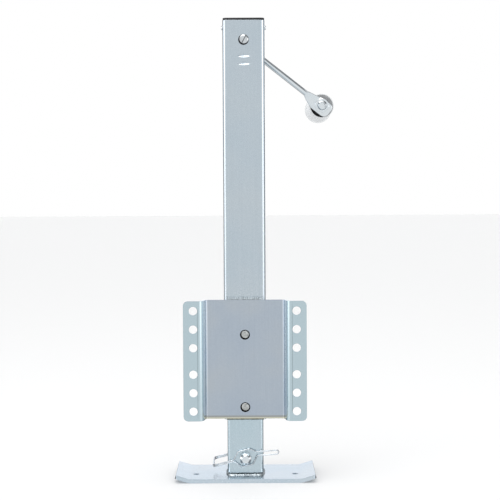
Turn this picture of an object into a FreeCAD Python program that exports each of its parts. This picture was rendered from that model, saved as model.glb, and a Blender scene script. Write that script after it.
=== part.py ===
import FreeCAD, Part
import math
import os

# Drop leg trailer jack, side wind, in millimetres.
# The foot stands on z = 0 and the tubes share the Z axis.
# The mounting bracket faces -Y and the crank is on the +Y side.

vec = FreeCAD.Vector
along_x = vec(1, 0, 0)
along_y = vec(0, 1, 0)
along_z = vec(0, 0, 1)
centre = vec(0, 0, 0)

# outer tube
outer_width = 58.0
outer_wall = 3.0
outer_corner = 6.0
outer_bottom = 84.0
outer_top = 635.5

# ram, the screw-driven inner tube
ram_width = 50.0
ram_wall = 3.0
ram_corner = 5.0

# drop leg inside the ram
leg_gap = 0.6
leg_wall = 3.0
leg_corner = 3.5
leg_above_holes = 26.0
leg_hole_pitch = 38.1
leg_steps = 6

# foot
foot_length = 195.0
foot_depth = 104.0
foot_sheet = 5.5
foot_flat = 156.0
foot_rise = 6.0
foot_bend = 16.0
foot_corner = 4.0
foot_hole = 8.2
foot_hole_spread = 138.0
foot_hole_front = 16.0
foot_edge = 1.0
foot_weld_width = 5.5
foot_weld_height = 3.0
foot_weld_gap = 0.5

# lock pin and its wire
pin_diameter = 16.0
pin_play = 0.3
pin_above_ram_end = 21.5
pin_reach = 17.0
pin_tip = 10.0
pin_head = 25.0
pin_head_length = 12.0
pin_head_gap = 0.4
pin_travel = 68.0
wire = 1.8
wire_strand_gap = 0.25
wire_tilt = 14.0
wire_side = 46.0
wire_ahead = 4.0
wire_loop_height = 11.0
wire_loop_flat = 8.0
wire_loop_start = 16.5
wire_loop_end = 16.5
wire_tab = 46.5
wire_tab_half = 2.8
wire_tab_lift = 2.0
wire_tab_rise = 4.3
wire_eye_play = 0.15
wire_end_depth = 5.0
wire_end_rise = 3.0

# hat section bracket
bracket_width = 169.0
bracket_height = 165.0
bracket_bottom = 86.0
bracket_sheet = 4.0
bracket_recess = 22.5
channel_back = 108.2
channel_front = 115.2
bracket_bend = 4.5
bracket_corner = 6.5
bolt_hole = 11.5
bolt_columns = 141.6
bolt_rows = (18.25, 43.65, 69.05)
plug_hole = 13.5
plug_heights = (16.0, 116.6)
plug_crown = 0.8
weld_leg = 4.0
weld_foot_leg = 2.0
weld_length = 52.0

# top cap
cap_width = 57.2
cap_plate = 3.0
cap_edge = 1.2
cap_corner = 5.6
cap_skirt = 14.0
cap_skirt_wall = 2.2
cap_skirt_gap = 0.2
cap_screw = 3.8
cap_screw_head = 6.4
cap_screw_head_height = 2.2
cap_screw_below_top = 8.0
cap_screw_length = 7.0

# crank shaft
shaft_below_top = 27.0
shaft_diameter = 14.0
shaft_play = 0.1
shaft_dome = 1.2
shaft_proud = 0.6
shaft_thread = 12.0
shaft_flats = 10.0
bush_outside = 18.0
bush_flange = 24.0
bush_flange_thick = 2.0
shaft_end_play = 0.4

# crank arm and grip
arm_length = 140.9
arm_drop_angle = 38.2
arm_plane = 44.0
arm_rod = 8.0
eye_thick = 5.0
eye_width = 22.0
eye_end = 14.7
eye_corner = 7.5
eye_forge = 24.0
eye_aside = 1.0
hub_eye_width = 27.0
eye_flare = 8.0
nut_flats = 19.0
nut_height = 10.0
nut_chamfer = 1.2
thread_end = 1.5
grip_length = 120.5
grip_near = 17.4
grip_waist = 16.9
grip_far = 19.6
grip_far_length = 9.0
grip_play = 0.2
grip_rim_gap = 0.8
grip_bore = 15.9
grip_end_wall = 3.0
grip_bush_hub = 9.0
grip_bush_face = 75.0
grip_bush_fit = 0.05
grip_washer_gap = 0.3
grip_counterbore = 13.6
grip_counterbore_depth = 6.5
bolt_head_radius = 12.5
bolt_head_height = 5.0

# bevel gears
module = 2.25
pinion_teeth = 12
gear_teeth = 18
pressure_angle = math.radians(25)
pinion_addendum = 1.2 * module
gear_addendum = 0.75 * module
root_clearance = 0.25 * module
backlash = 0.3
face_width = 6.5
pinion_hub = 11.0
gear_hub = 13.0
gear_body = 4.8
gear_pin = 3.0
gear_pin_play = 0.05

# thrust plate and bearing
plate_thick = 6.0
plate_below_shaft = 26.5
plate_gap = 0.3
plate_chamfer = 1.3
plate_run_gap = 0.3
race_outside = 34.0
race_thick = 2.0
ball = 5.0
ball_count = 14
ball_circle = 12.0
ball_gap = 0.05

# crimps that hold the thrust plate
crimp_spacing = 10.6
crimp_half_length = 11.0
crimp_radius = 3.2
crimp_offset = 1.2
crimp_metal = 2.2

# lead screw and its nut
screw_diameter = 19.05
screw_journal = 14.0
screw_collar = 30.0
screw_collar_thick = 5.0
screw_end_above_gear = 1.0
screw_tail = 4.0
nut_play = 0.15
nut_side_gap = 0.2
nut_length = 30.0
nut_flange_gap = 0.4
nut_flange = 5.0
stop_gap = 0.5
stop_washer = 30.0
stop_washer_thick = 4.0
stroke = 381.0

# places that follow from the sizes above
shaft_height = outer_top - shaft_below_top
plate_height = shaft_height - plate_below_shaft
outer_half = outer_width / 2
outer_bore_half = outer_half - outer_wall
ram_half = ram_width / 2
ram_bore = ram_width - 2 * ram_wall
leg_width = ram_bore - 2 * leg_gap
ram_bottom = foot_sheet + foot_weld_height + foot_weld_gap
pin_height = ram_bottom + pin_above_ram_end
bracket_top = bracket_bottom + bracket_height
bracket_middle = bracket_bottom + bracket_height / 2
plate_front = -outer_half - bracket_sheet
flange_front = plate_front - bracket_recess
plate_top = plate_height + plate_thick / 2
plate_bottom = plate_height - plate_thick / 2
pinion_radius = module * pinion_teeth / 2
gear_radius = module * gear_teeth / 2
pinion_cone = math.atan2(pinion_teeth, gear_teeth)
gear_cone = math.pi / 2 - pinion_cone
cone_length = math.hypot(pinion_radius, gear_radius)
gear_dedendum = pinion_addendum + root_clearance
pinion_dedendum = gear_addendum + root_clearance
upper_race_bottom = plate_bottom - race_thick
lower_race_top = upper_race_bottom - ball - 2 * ball_gap
collar_top = lower_race_top - race_thick
collar_bottom = collar_top - screw_collar_thick
nut_top = collar_bottom - stop_gap
ram_top = nut_top - nut_flange
nut_bottom = nut_top - nut_length
stop_top = nut_bottom - stroke - stop_gap
stop_bottom = stop_top - stop_washer_thick
gear_hub_bottom = plate_top + plate_run_gap
gear_face_scale = (cone_length - face_width) / cone_length
gear_toe_root = gear_face_scale * (pinion_radius + gear_dedendum * math.sin(gear_cone))
screw_top = shaft_height - gear_toe_root + screw_end_above_gear
arm_angle = math.radians(arm_drop_angle)
grip_x = arm_length * math.cos(arm_angle)
grip_z = shaft_height - arm_length * math.sin(arm_angle)
arm_near_face = arm_plane - eye_thick / 2
arm_far_face = arm_plane + eye_thick / 2
grip_start = arm_far_face + grip_rim_gap
grip_end = grip_start + grip_length
grip_seat = grip_end - grip_counterbore_depth


def rounded_rectangle(width, depth, radius, z):
    """A closed wire, centred on the Z axis, with round corners."""
    a = width / 2
    b = depth / 2
    c = radius * (1 - math.sqrt(0.5))
    corners = [(1, 1), (-1, 1), (-1, -1), (1, -1)]
    edges = []
    for i, (sx, sy) in enumerate(corners):
        first = vec(sx * a, sy * (b - radius), z)
        last = vec(sx * (a - radius), sy * b, z)
        if i % 2:
            first, last = last, first
        middle = vec(sx * (a - c), sy * (b - c), z)
        edges.append(Part.Arc(first, middle, last).toShape())
        nx, ny = corners[(i + 1) % 4]
        if i % 2:
            following = vec(nx * a, ny * (b - radius), z)
        else:
            following = vec(nx * (a - radius), ny * b, z)
        if (following - last).Length > 1e-6:
            edges.append(Part.LineSegment(last, following).toShape())
    return Part.Wire(Part.__sortEdges__(edges))


def block(width, depth, radius, low, high):
    face = Part.Face(rounded_rectangle(width, depth, radius, low))
    return face.extrude(vec(0, 0, high - low))


def square_tube(width, wall, radius, low, high):
    bore = width - 2 * wall
    outside = block(width, width, radius, low, high)
    return outside.cut(block(bore, bore, max(radius - wall, 0.5), low, high))


def rod(radius, start, end):
    return Part.makeCylinder(radius, (end - start).Length, start, end - start)


def ring(outer, inner, start, end):
    return rod(outer, start, end).cut(rod(inner, start, end))


def turned(profile, origin=centre, direction=along_z):
    """A solid of revolution from points (radius, distance along the axis)."""
    points = [vec(r, 0, h) for r, h in profile]
    face = Part.Face(Part.makePolygon(points + [points[0]]))
    shape = face.revolve(centre, along_z, 360)
    shape.Placement = FreeCAD.Placement(origin, FreeCAD.Rotation(along_z, direction))
    return shape


def hexagon(flats, low, high, bore, chamfer, origin, direction):
    """A hexagon nut with turned corners and a plain bore."""
    corner = flats / math.sqrt(3)
    points = [vec(corner * math.cos(k * math.pi / 3), corner * math.sin(k * math.pi / 3), low)
              for k in range(7)]
    body = Part.Face(Part.makePolygon(points)).extrude(vec(0, 0, high - low))
    slope = chamfer * 0.5
    turned_blank = turned([(0, low), (corner - chamfer, low), (corner, low + slope),
                           (corner, high - slope), (corner - chamfer, high), (0, high)])
    body = body.common(turned_blank).cut(rod(bore / 2, vec(0, 0, low), vec(0, 0, high)))
    body.Placement = FreeCAD.Placement(origin, FreeCAD.Rotation(along_z, direction))
    return body


def strip(front, sheet):
    """The outline of a bent sheet, from the points of one face, left to right."""
    back = []
    for i, point in enumerate(front):
        before = front[max(i - 1, 0)]
        after = front[min(i + 1, len(front) - 1)]
        into = (point - before) if i else (after - point)
        out = (after - point) if i < len(front) - 1 else into
        into.normalize()
        out.normalize()
        side_in = vec(-into.y, into.x, 0)
        side_out = vec(-out.y, out.x, 0)
        mitre = side_in + side_out
        mitre.normalize()
        back.append(point + mitre * (sheet / mitre.dot(side_in)))
    return front, back


def bent_sheet(front, sheet, inside_radius, length):
    """A bent sheet standing along Z, with a round bend at each corner of the outline."""
    face_side, back_side = strip(front, sheet)
    outline = face_side + back_side[::-1]
    body = Part.Face(Part.makePolygon(outline + [outline[0]])).extrude(vec(0, 0, length))
    for i in range(1, len(front) - 1):
        turn = (front[i] - front[i - 1]).cross(front[i + 1] - front[i]).z
        face_radius = inside_radius + (sheet if turn > 0 else 0)
        back_radius = inside_radius + (0 if turn > 0 else sheet)
        for corner, radius in ((face_side[i], face_radius), (back_side[i], back_radius)):
            edge = [e for e in body.Edges
                    if abs(e.Length - length) < 1e-3
                    and math.hypot(e.CenterOfMass.x - corner.x, e.CenterOfMass.y - corner.y) < 1e-3]
            body = body.makeFillet(radius, edge)
    return body


def round_path(points, radii):
    """A wire of straight runs with an arc of its own radius at each inner point."""
    edges = []
    last = points[0]
    for i in range(1, len(points) - 1):
        into = points[i] - points[i - 1]
        out = points[i + 1] - points[i]
        into.normalize()
        out.normalize()
        turn = into.getAngle(out)
        if turn < 1e-4:
            continue
        reach = radii[i - 1] * math.tan(turn / 2)
        first = points[i] - into * reach
        final = points[i] + out * reach
        inward = out - into
        inward.normalize()
        middle = points[i] + inward * (radii[i - 1] / math.cos(turn / 2) - radii[i - 1])
        edges.append(Part.LineSegment(last, first).toShape())
        edges.append(Part.Arc(first, middle, final).toShape())
        last = final
    edges.append(Part.LineSegment(last, points[-1]).toShape())
    return Part.Wire(edges)


def involute(angle):
    return math.tan(angle) - angle


def bevel_outline(teeth, cone, axial, addendum, dedendum, half_thickness, scale):
    """The gear's outline in one plane across its axis, drawn from the pitch apex."""
    virtual = axial * math.tan(cone) / math.cos(cone)
    base = virtual * math.cos(pressure_angle)
    at_pitch = half_thickness / virtual

    def flank_point(height, side, tooth):
        radius = virtual + height
        steep = math.acos(min(1.0, base / max(radius, base)))
        spread = at_pitch + involute(pressure_angle) - involute(steep)
        angle = tooth * 2 * math.pi / teeth + side * spread / math.cos(cone)
        depth = axial - height * math.sin(cone)
        flat = radius * math.cos(cone) * axial / depth * scale
        return vec(flat * math.cos(angle), flat * math.sin(angle), axial * scale)

    def arc_between(first, last):
        radius = math.hypot(first.x, first.y)
        way = (first + last) * 0.5
        grow = radius / math.hypot(way.x, way.y)
        middle = vec(way.x * grow, way.y * grow, first.z)
        return Part.Arc(first, middle, last).toShape()

    start = base - virtual
    if start < -dedendum:
        start = -dedendum * 0.7
    flank_heights = [start + (addendum - start) * k / 4 for k in range(5)]
    edges = []
    for tooth in range(teeth):
        for side in (-1, 1):
            points = [flank_point(h, side, tooth) for h in flank_heights]
            foot = flank_point(-dedendum, side, tooth)
            if side > 0:
                points.reverse()
            curve = Part.BSplineCurve()
            curve.interpolate(points)
            if side < 0:
                edges.append(Part.LineSegment(foot, points[0]).toShape())
                edges.append(curve.toShape())
                edges.append(arc_between(points[-1], flank_point(addendum, 1, tooth)))
            else:
                edges.append(curve.toShape())
                edges.append(Part.LineSegment(points[-1], foot).toShape())
                edges.append(arc_between(foot, flank_point(-dedendum, -1, tooth + 1)))
    return Part.Wire(edges)


def bevel_gear(teeth, cone, axial, addendum, dedendum, half_thickness, hub, body, back, bore):
    """A straight bevel gear with its pitch apex at the origin and its back towards +Z."""
    radius = axial * math.tan(cone)
    tip = (radius + addendum * math.cos(cone), axial - addendum * math.sin(cone))
    root = (radius - dedendum * math.cos(cone), axial + dedendum * math.sin(cone))
    s = gear_face_scale
    outlines = [bevel_outline(teeth, cone, axial, addendum, dedendum, half_thickness, scale)
                for scale in (0.4, back / axial + 0.1)]
    cut_teeth = Part.makeLoft(outlines, True, True)
    toe_tip = (tip[0] * s, tip[1] * s)
    toe_root = (root[0] * s, root[1] * s)
    blank = turned([(0, toe_root[1]), toe_root, toe_tip, tip, root,
                    (root[0], root[1] + body), (hub, root[1] + body), (hub, back), (0, back)])
    gear = cut_teeth.common(blank)
    return gear.cut(rod(bore / 2, vec(0, 0, 0), vec(0, 0, back + 1)))


def crimp_spindle(radius, half_length, direction):
    """A lemon-shaped solid along X that presses one crimp into a wall facing direction."""
    bulge = Part.Arc(vec(-half_length, 0, 0), vec(0, radius, 0), vec(half_length, 0, 0)).toShape()
    chord = Part.LineSegment(vec(half_length, 0, 0), vec(-half_length, 0, 0)).toShape()
    lemon = Part.Face(Part.Wire([bulge, chord])).revolve(centre, along_x, 360)
    lemon.Placement = FreeCAD.Placement(vec(0, -outer_half - crimp_offset, 0), FreeCAD.Rotation())
    turn = FreeCAD.Placement(centre, FreeCAD.Rotation(along_z, direction))
    lemon.Placement = turn.multiply(lemon.Placement)
    return lemon


def outer_tube():
    body = square_tube(outer_width, outer_wall, outer_corner, outer_bottom, outer_top)
    inside = block(2 * outer_bore_half, 2 * outer_bore_half, outer_corner - outer_wall,
                   outer_bottom, outer_top)
    for side in (0, 90, 180, 270):
        for level in (-1, 1):
            height = vec(0, 0, plate_height + level * crimp_spacing / 2)
            grown = crimp_half_length * (crimp_radius + crimp_metal) / crimp_radius
            bump = crimp_spindle(crimp_radius + crimp_metal, grown, side)
            bump.translate(height)
            dent = crimp_spindle(crimp_radius, crimp_half_length, side)
            dent.translate(height)
            body = body.fuse(bump.common(inside)).cut(dent)
    near_hole = rod(shaft_diameter / 2 + shaft_play, vec(0, -outer_half - 1, shaft_height),
                    vec(0, 0, shaft_height))
    far_hole = rod(bush_outside / 2, vec(0, 0, shaft_height), vec(0, outer_half + 1, shaft_height))
    body = body.cut(near_hole).cut(far_hole)
    screw_level = outer_top - cap_screw_below_top
    across = rod(cap_screw / 2 + 0.1, vec(-outer_half - 1, 0, screw_level),
                 vec(outer_half + 1, 0, screw_level))
    return body.cut(across).removeSplitter()


def mounting_bracket():
    back = channel_back / 2
    front = channel_front / 2
    edge = bracket_width / 2
    outline = [vec(-edge, flange_front, 0), vec(-front, flange_front, 0), vec(-back, plate_front, 0),
               vec(back, plate_front, 0), vec(front, flange_front, 0), vec(edge, flange_front, 0)]
    body = bent_sheet(outline, bracket_sheet, bracket_bend, bracket_height)
    body.translate(vec(0, 0, bracket_bottom))
    face = Part.Face(rounded_rectangle(bracket_width, bracket_height, bracket_corner, 0))
    window = face.extrude(vec(0, 0, outer_width + bracket_recess))
    window.Placement = FreeCAD.Placement(vec(0, 0, bracket_middle), FreeCAD.Rotation(along_x, 90))
    body = body.common(window)
    for row in bolt_rows:
        for side in (-1, 1):
            for level in (-1, 1):
                spot = vec(side * bolt_columns / 2, flange_front - 1, bracket_middle + level * row)
                body = body.cut(rod(bolt_hole / 2, spot, spot + vec(0, bracket_sheet + 2, 0)))
    for height in plug_heights:
        spot = vec(0, plate_front - 1, bracket_bottom + height)
        body = body.cut(rod(plug_hole / 2, spot, spot + vec(0, bracket_sheet + 2, 0)))
    return body.removeSplitter()


def bracket_welds():
    """The beads along the bracket plate's top and bottom edges."""
    beads = []
    for height, up, leg in ((bracket_top, 1, weld_leg), (bracket_bottom, -1, weld_foot_leg)):
        corner = vec(-weld_length / 2, -outer_half, height)
        along_plate = corner + vec(0, -bracket_sheet, 0)
        along_tube = corner + vec(0, 0, up * leg)
        swell = corner + vec(0, -bracket_sheet * 0.66, up * leg * 0.66)
        section = Part.Wire([Part.LineSegment(corner, along_plate).toShape(),
                             Part.Arc(along_plate, swell, along_tube).toShape(),
                             Part.LineSegment(along_tube, corner).toShape()])
        bead = Part.Face(section).extrude(vec(weld_length, 0, 0))
        beads.append(bead)
    return Part.makeCompound(beads)


def plug_welds():
    """Weld metal that fills the two holes of the bracket's plate."""
    plugs = []
    radius = plug_hole / 2
    for height in plug_heights:
        spot = vec(0, -outer_half, bracket_bottom + height)
        rise = bracket_sheet - plug_crown
        slope = radius * 0.8
        plugs.append(turned([(0, 0), (radius, 0), (radius, rise * 0.55), (slope, rise),
                             (radius * 0.4, rise + plug_crown * 0.6), (0, rise + plug_crown * 0.7)],
                            spot, -along_y))
    return Part.makeCompound(plugs)


def top_cap():
    plate = block(cap_width, cap_width, cap_corner, outer_top, outer_top + cap_plate)
    rim = [e for e in plate.Edges if abs(e.BoundBox.ZMin - outer_top - cap_plate) < 1e-6
           and abs(e.BoundBox.ZMax - outer_top - cap_plate) < 1e-6]
    plate = plate.makeFillet(cap_edge, rim)
    skirt_width = 2 * (outer_bore_half - cap_skirt_gap)
    skirt = square_tube(skirt_width, cap_skirt_wall, outer_corner - outer_wall,
                        outer_top - cap_skirt, outer_top)
    cap = plate.fuse(skirt)
    level = outer_top - cap_screw_below_top
    across = rod(cap_screw / 2 + 0.05, vec(-outer_half, 0, level), vec(outer_half, 0, level))
    return cap.cut(across).removeSplitter()


def cap_screws():
    """Two pan head screws, one in each side wall."""
    level = outer_top - cap_screw_below_top
    shank = cap_screw / 2
    head = cap_screw_head / 2
    rise = cap_screw_head_height
    screws = []
    for side in (-1, 1):
        screws.append(turned([(0, -cap_screw_length), (shank * 0.5, -cap_screw_length),
                              (shank, 1.5 - cap_screw_length), (shank, 0), (head, 0),
                              (head, rise * 0.45), (head * 0.75, rise * 0.88), (0, rise)],
                             vec(side * outer_half, 0, level), vec(side, 0, 0)))
    return Part.makeCompound(screws)


def thrust_plate():
    width = 2 * (outer_bore_half - plate_gap)
    body = block(width, width, outer_corner - outer_wall, plate_bottom, plate_top)
    flat_edges = [e for e in body.Edges if e.BoundBox.ZLength < 1e-6]
    body = body.makeChamfer(plate_chamfer, flat_edges)
    return body.cut(rod(screw_journal / 2 + shaft_play, vec(0, 0, plate_bottom), vec(0, 0, plate_top)))


def bearing_race(low, play):
    return ring(race_outside / 2, screw_journal / 2 + play, vec(0, 0, low), vec(0, 0, low + race_thick))


def bearing_balls():
    level = upper_race_bottom - ball_gap - ball / 2
    balls = []
    for k in range(ball_count):
        angle = 2 * math.pi * k / ball_count
        spot = vec(ball_circle * math.cos(angle), ball_circle * math.sin(angle), level)
        balls.append(Part.makeSphere(ball / 2, spot))
    return Part.makeCompound(balls)


def shaft_bush():
    inner = shaft_diameter / 2 + shaft_play
    return turned([(inner, outer_bore_half), (bush_outside / 2, outer_bore_half),
                   (bush_outside / 2, outer_half), (bush_flange / 2, outer_half),
                   (bush_flange / 2, outer_half + bush_flange_thick),
                   (inner, outer_half + bush_flange_thick)], vec(0, 0, shaft_height), along_y)


def crank_shaft():
    """Domed near end, flats for the arm and a threaded far end."""
    radius = shaft_diameter / 2
    near = -outer_half - shaft_proud
    thread = shaft_thread / 2
    end = arm_far_face + nut_height + thread_end
    body = turned([(0, near - shaft_dome), (radius * 0.45, near - shaft_dome * 0.86),
                   (radius * 0.8, near - shaft_dome * 0.42), (radius, near),
                   (radius, arm_near_face),
                   (thread, arm_near_face), (thread, end - 1), (thread - 1, end), (0, end)],
                  vec(0, 0, shaft_height), along_y)
    for side in (-1, 1):
        cutter = Part.makeBox(shaft_thread, eye_thick, thread,
                              vec(-shaft_thread / 2, arm_near_face, shaft_flats / 2))
        if side < 0:
            cutter.rotate(centre, along_y, 180)
        cutter.rotate(centre, along_y, arm_drop_angle)
        cutter.translate(vec(0, 0, shaft_height))
        body = body.cut(cutter)
    return body.cut(pinion_pin_solid(gear_pin_play))


def pinion_pin_solid(play=0.0):
    level = gear_radius + pinion_dedendum * math.sin(pinion_cone) + 2.1
    reach = pinion_hub - 0.4
    return rod(gear_pin / 2 + play, vec(0, level, shaft_height - reach - play),
               vec(0, level, shaft_height + reach + play))


def gear_pin_solid(play=0.0):
    root = pinion_radius + gear_dedendum * math.sin(gear_cone)
    level = shaft_height - root - gear_body / 2
    reach = gear_radius - gear_dedendum * math.cos(gear_cone) - 0.5
    return rod(gear_pin / 2 + play, vec(-reach - play, 0, level), vec(reach + play, 0, level))


def half_tooth(addendum, other):
    shift = (addendum - other) / 2
    return module * math.pi / 4 + shift * math.tan(pressure_angle) - backlash / 4


def drive_pinion():
    back = outer_bore_half - shaft_end_play
    gear = bevel_gear(pinion_teeth, pinion_cone, gear_radius, pinion_addendum, pinion_dedendum,
                      half_tooth(pinion_addendum, gear_addendum), pinion_hub, 0.6, back,
                      shaft_diameter)
    gear.Placement = seat_gear(along_y, -along_z)
    return gear.cut(pinion_pin_solid(gear_pin_play))


def seat_gear(axis, tooth):
    """A placement that turns the gear's +Z to its axis and its first tooth to a direction."""
    side = axis.cross(tooth)
    turn = FreeCAD.Matrix(tooth.x, side.x, axis.x, 0, tooth.y, side.y, axis.y, 0,
                          tooth.z, side.z, axis.z, shaft_height, 0, 0, 0, 1)
    return FreeCAD.Placement(turn)


def driven_gear():
    back = shaft_height - gear_hub_bottom
    gear = bevel_gear(gear_teeth, gear_cone, pinion_radius, gear_addendum, gear_dedendum,
                      half_tooth(gear_addendum, pinion_addendum), gear_hub, gear_body, back,
                      screw_journal)
    half_pitch = math.pi / gear_teeth
    gear.Placement = seat_gear(-along_z, vec(math.sin(half_pitch), math.cos(half_pitch), 0))
    return gear.cut(gear_pin_solid(gear_pin_play))


def arm_spacer():
    start = outer_half + bush_flange_thick + shaft_end_play
    return ring(shaft_diameter / 2 + 3, shaft_diameter / 2 + 0.05, vec(0, start, shaft_height),
                vec(0, arm_near_face, shaft_height))


def arm_section(along, width, thickness, radius, aside=0.0):
    """A cross-section of the crank arm, drawn about the X axis."""
    section = rounded_rectangle(thickness, width, radius, 0)
    section.rotate(centre, along_y, 90)
    section.translate(vec(along, aside, 0))
    return section


def crank_arm():
    """A round rod, forged flat at both ends, drawn along X and then turned into place."""
    hub = hub_eye_width / 2
    half = eye_thick / 2
    aside = -eye_aside
    round_corner = arm_rod * 0.48
    flat_corner = eye_thick * 0.3
    sections = [arm_section(hub * 0.4, hub_eye_width * 0.9, eye_thick, flat_corner),
                arm_section(hub * 0.9, hub_eye_width * 0.64, eye_thick, flat_corner),
                arm_section(hub + eye_flare, arm_rod, arm_rod, round_corner),
                arm_section(arm_length - eye_forge - 5, arm_rod, arm_rod, round_corner),
                arm_section(arm_length - eye_forge, eye_width * 0.55, eye_thick, flat_corner, aside),
                arm_section(arm_length - eye_width / 2, eye_width * 0.9, eye_thick, flat_corner,
                            aside * 2),
                arm_section(arm_length, eye_width, eye_thick, flat_corner, aside)]
    body = Part.makeLoft(sections, True, True)
    body = body.fuse(rod(hub, vec(0, 0, -half), vec(0, 0, half)))
    tongue = block(2 * eye_end, eye_width, eye_corner, -half, half)
    tongue.translate(vec(arm_length, aside, 0))
    body = body.fuse(tongue)
    flats = rod(shaft_thread / 2, vec(0, 0, -half), vec(0, 0, half))
    flats = flats.common(Part.makeBox(shaft_thread, shaft_flats, eye_thick,
                                      vec(-shaft_thread / 2, -shaft_flats / 2, -half)))
    body = body.cut(flats)
    body = body.cut(rod(shaft_thread / 2 + 0.05, vec(arm_length, 0, -half), vec(arm_length, 0, half)))
    body = body.removeSplitter()
    body.rotate(centre, along_x, 90)
    body.rotate(centre, along_y, arm_drop_angle)
    body.translate(vec(0, arm_plane, shaft_height))
    return body


def crank_nut():
    return hexagon(nut_flats, 0, nut_height, shaft_thread + 0.1, nut_chamfer,
                   vec(0, arm_far_face, shaft_height), along_y)


def grip_nut():
    return hexagon(nut_flats, 0, nut_height, shaft_thread + 0.1, nut_chamfer,
                   vec(grip_x, arm_near_face, grip_z), -along_y)


def grip_bolt():
    """A domed bolt that carries the grip; its head lies in the grip's far end."""
    radius = shaft_thread / 2
    near = arm_near_face - nut_height - thread_end
    seat = grip_seat + grip_washer_gap
    return turned([(0, near), (radius - 1, near), (radius, near + 1), (radius, seat),
                   (bolt_head_radius, seat), (bolt_head_radius * 0.93, seat + bolt_head_height * 0.4),
                   (bolt_head_radius * 0.62, seat + bolt_head_height * 0.85),
                   (0, seat + bolt_head_height)], vec(grip_x, 0, grip_z), along_y)


def grip_bush():
    """The dark core in the grip: a long hub on the bolt and a plug that fills the far half."""
    start = arm_far_face + grip_washer_gap
    inner = shaft_thread / 2 + grip_play
    plug = grip_bore - grip_bush_fit
    face = grip_start + grip_bush_face
    end = grip_seat - grip_end_wall
    return turned([(inner, start), (grip_bush_hub, start), (grip_bush_hub, face), (plug, face),
                   (plug, end), (inner, end)], vec(grip_x, 0, grip_z), along_y)


def grip():
    """A waisted shell, open at the arm, with an end wall for the core and the bolt's head."""
    inner = shaft_thread / 2 + grip_play
    far = grip_end - grip_far_length
    wall = grip_near - grip_bore
    outline = [Part.Arc(vec(grip_near, 0, grip_start + 1), vec(grip_waist, 0, (grip_start + far) / 2),
                        vec(grip_near + 0.6, 0, far)).toShape()]
    corners = [vec(grip_near + 0.6, 0, far), vec(grip_far, 0, far + 3), vec(grip_far, 0, grip_end - 2.5),
               vec(grip_far - 2.5, 0, grip_end), vec(grip_counterbore, 0, grip_end),
               vec(grip_counterbore, 0, grip_seat), vec(inner, 0, grip_seat),
               vec(inner, 0, grip_seat - grip_end_wall), vec(grip_bore, 0, grip_seat - grip_end_wall),
               vec(grip_bore, 0, grip_start), vec(grip_near - wall * 0.4, 0, grip_start),
               vec(grip_near, 0, grip_start + 1)]
    for first, last in zip(corners, corners[1:]):
        outline.append(Part.LineSegment(first, last).toShape())
    body = Part.Face(Part.Wire(outline)).revolve(centre, along_z, 360)
    body.Placement = FreeCAD.Placement(vec(grip_x, 0, grip_z), FreeCAD.Rotation(along_z, along_y))
    return body


def lead_screw():
    """Journal, collar and screw; the thread itself is a plain cylinder at its crests."""
    radius = screw_diameter / 2
    journal = screw_journal / 2
    tail = screw_tail + stop_washer_thick
    low = stop_top - tail
    body = turned([(0, low), (journal - 1, low), (journal, low + 1), (journal, stop_top),
                   (radius, stop_top), (radius, collar_bottom), (screw_collar / 2, collar_bottom),
                   (screw_collar / 2, collar_top), (journal, collar_top), (journal, screw_top - 1),
                   (journal - 1, screw_top), (0, screw_top)])
    return body.cut(gear_pin_solid(gear_pin_play)).cut(stop_pin_solid(gear_pin_play))


def stop_washer_solid():
    return ring(stop_washer / 2, screw_journal / 2 + 0.05, vec(0, 0, stop_bottom), vec(0, 0, stop_top))


def stop_pin_solid(play=0.0):
    level = stop_bottom - gear_pin / 2 - 0.1
    reach = stop_washer / 2 - 3
    return rod(gear_pin / 2 + play, vec(0, -reach - play, level), vec(0, reach + play, level))


def lead_nut():
    """A square nut that hangs in the ram by its flange."""
    flange = 2 * (outer_bore_half - nut_flange_gap)
    body = block(flange, flange, outer_corner - outer_wall, ram_top, nut_top)
    side = ram_bore - 2 * nut_side_gap
    body = body.fuse(block(side, side, max(ram_corner - ram_wall, 0.5) + 0.5, nut_bottom, ram_top))
    return body.cut(rod(screw_diameter / 2 + nut_play, vec(0, 0, nut_bottom), vec(0, 0, nut_top)))


def cross_holes(body, half, heights):
    radius = pin_diameter / 2 + pin_play / 2
    for height in heights:
        body = body.cut(rod(radius, vec(0, -half - 1, height), vec(0, half + 1, height)))
    return body


def ram_tube():
    body = square_tube(ram_width, ram_wall, ram_corner, ram_bottom, ram_top)
    return cross_holes(body, ram_half, [pin_height])


def drop_leg_tube():
    heights = [pin_height + k * leg_hole_pitch for k in range(leg_steps + 1)]
    body = square_tube(leg_width, leg_wall, leg_corner, foot_sheet, heights[-1] + leg_above_holes)
    return cross_holes(body, leg_width / 2, heights)


def foot_plate():
    """A flat plate with both ends turned up."""
    half = foot_length / 2
    flat = foot_flat / 2
    outline = [vec(-half, foot_rise, 0), vec(-flat, 0, 0), vec(flat, 0, 0), vec(half, foot_rise, 0)]
    body = bent_sheet(outline, foot_sheet, foot_bend, foot_depth)
    body.Placement = FreeCAD.Placement(vec(0, foot_depth / 2, 0), FreeCAD.Rotation(along_x, 90))
    window = block(foot_length, foot_depth, foot_corner, -1, foot_sheet + foot_rise + 10)
    body = body.common(window)
    for side in (-1, 1):
        spot = vec(side * foot_hole_spread / 2, -foot_hole_front, -1)
        body = body.cut(rod(foot_hole / 2, spot, spot + vec(0, 0, foot_sheet + 2)))
    return body


def foot_weld():
    """The fillet bead all round the drop leg's base."""
    low = rounded_rectangle(leg_width + 2 * foot_weld_width, leg_width + 2 * foot_weld_width,
                            leg_corner + foot_weld_width, foot_sheet)
    high = rounded_rectangle(leg_width + 1.2, leg_width + 1.2, leg_corner + 0.6,
                             foot_sheet + foot_weld_height)
    bead = Part.makeLoft([low, high], True, True)
    return bead.cut(block(leg_width, leg_width, leg_corner, foot_sheet, foot_sheet + foot_weld_height))


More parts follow.
